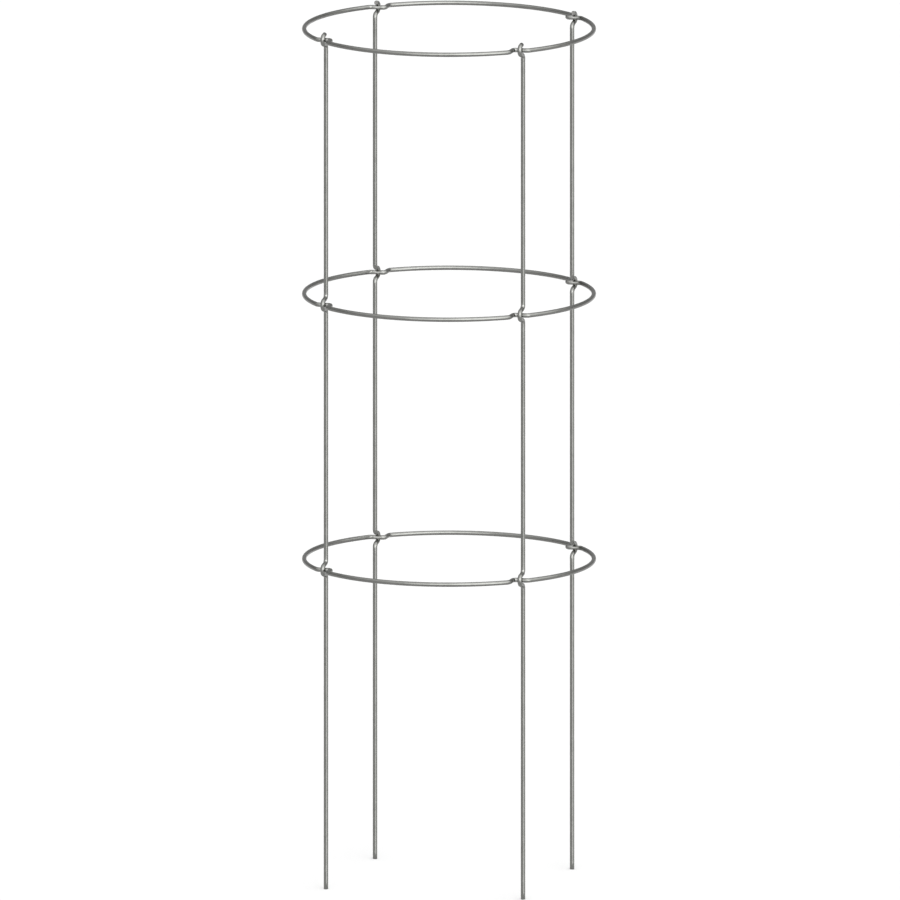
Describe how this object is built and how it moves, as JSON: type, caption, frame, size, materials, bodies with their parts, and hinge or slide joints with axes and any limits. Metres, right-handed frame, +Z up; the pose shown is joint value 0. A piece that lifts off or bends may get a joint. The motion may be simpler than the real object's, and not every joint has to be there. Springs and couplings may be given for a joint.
{
  "type": "tomato cage",
  "caption": "Straight-sided folding wire plant cage: notched round rings held in loops bent into upright stake legs, with open hooks at the top.",
  "frame": {"origin": "on the axis of the cage at the level of its four feet", "axes": "+Z up along the axis, front towards -Y, X along the hinge lines of the fold"},
  "size_m": [0.3604, 0.3604, 1.0681],
  "materials": {
    "leg_wire": "satin galvanised",
    "ring_wire": "satin galvanised"
  },
  "bodies": {
    "front_legs": {"leg_front_left": "leg_wire", "leg_front_right": "leg_wire"},
    "bottom_ring": {"bottom_ring": "ring_wire"},
    "middle_ring": {"middle_ring": "ring_wire"},
    "top_ring": {"top_ring": "ring_wire"},
    "back_legs": {"leg_back_left": "leg_wire", "leg_back_right": "leg_wire"}
  },
  "joints": [
    {"name": "bottom_ring_fold", "type": "hinge", "parent": "front_legs", "child": "bottom_ring", "pos_m": [0, -0.11618, 0.399], "axis": [1, 0, 0], "range_deg": [0, 83]},
    {"name": "middle_ring_fold", "type": "hinge", "parent": "front_legs", "child": "middle_ring", "pos_m": [0, -0.11618, 0.729], "axis": [1, 0, 0], "range_deg": [0, 83]},
    {"name": "top_ring_fold", "type": "hinge", "parent": "front_legs", "child": "top_ring", "pos_m": [0, -0.11618, 1.059], "axis": [1, 0, 0], "range_deg": [0, 83]},
    {"name": "back_legs_fold", "type": "hinge", "parent": "bottom_ring", "child": "back_legs", "pos_m": [0, 0.11618, 0.399], "axis": [1, 0, 0], "range_deg": [-83, 0]}
  ],
  "couplings": [
    {"joint": "middle_ring_fold", "follows": "bottom_ring_fold", "ratio": 1},
    {"joint": "top_ring_fold", "follows": "bottom_ring_fold", "ratio": 1},
    {"joint": "back_legs_fold", "follows": "bottom_ring_fold", "ratio": -1}
  ]
}
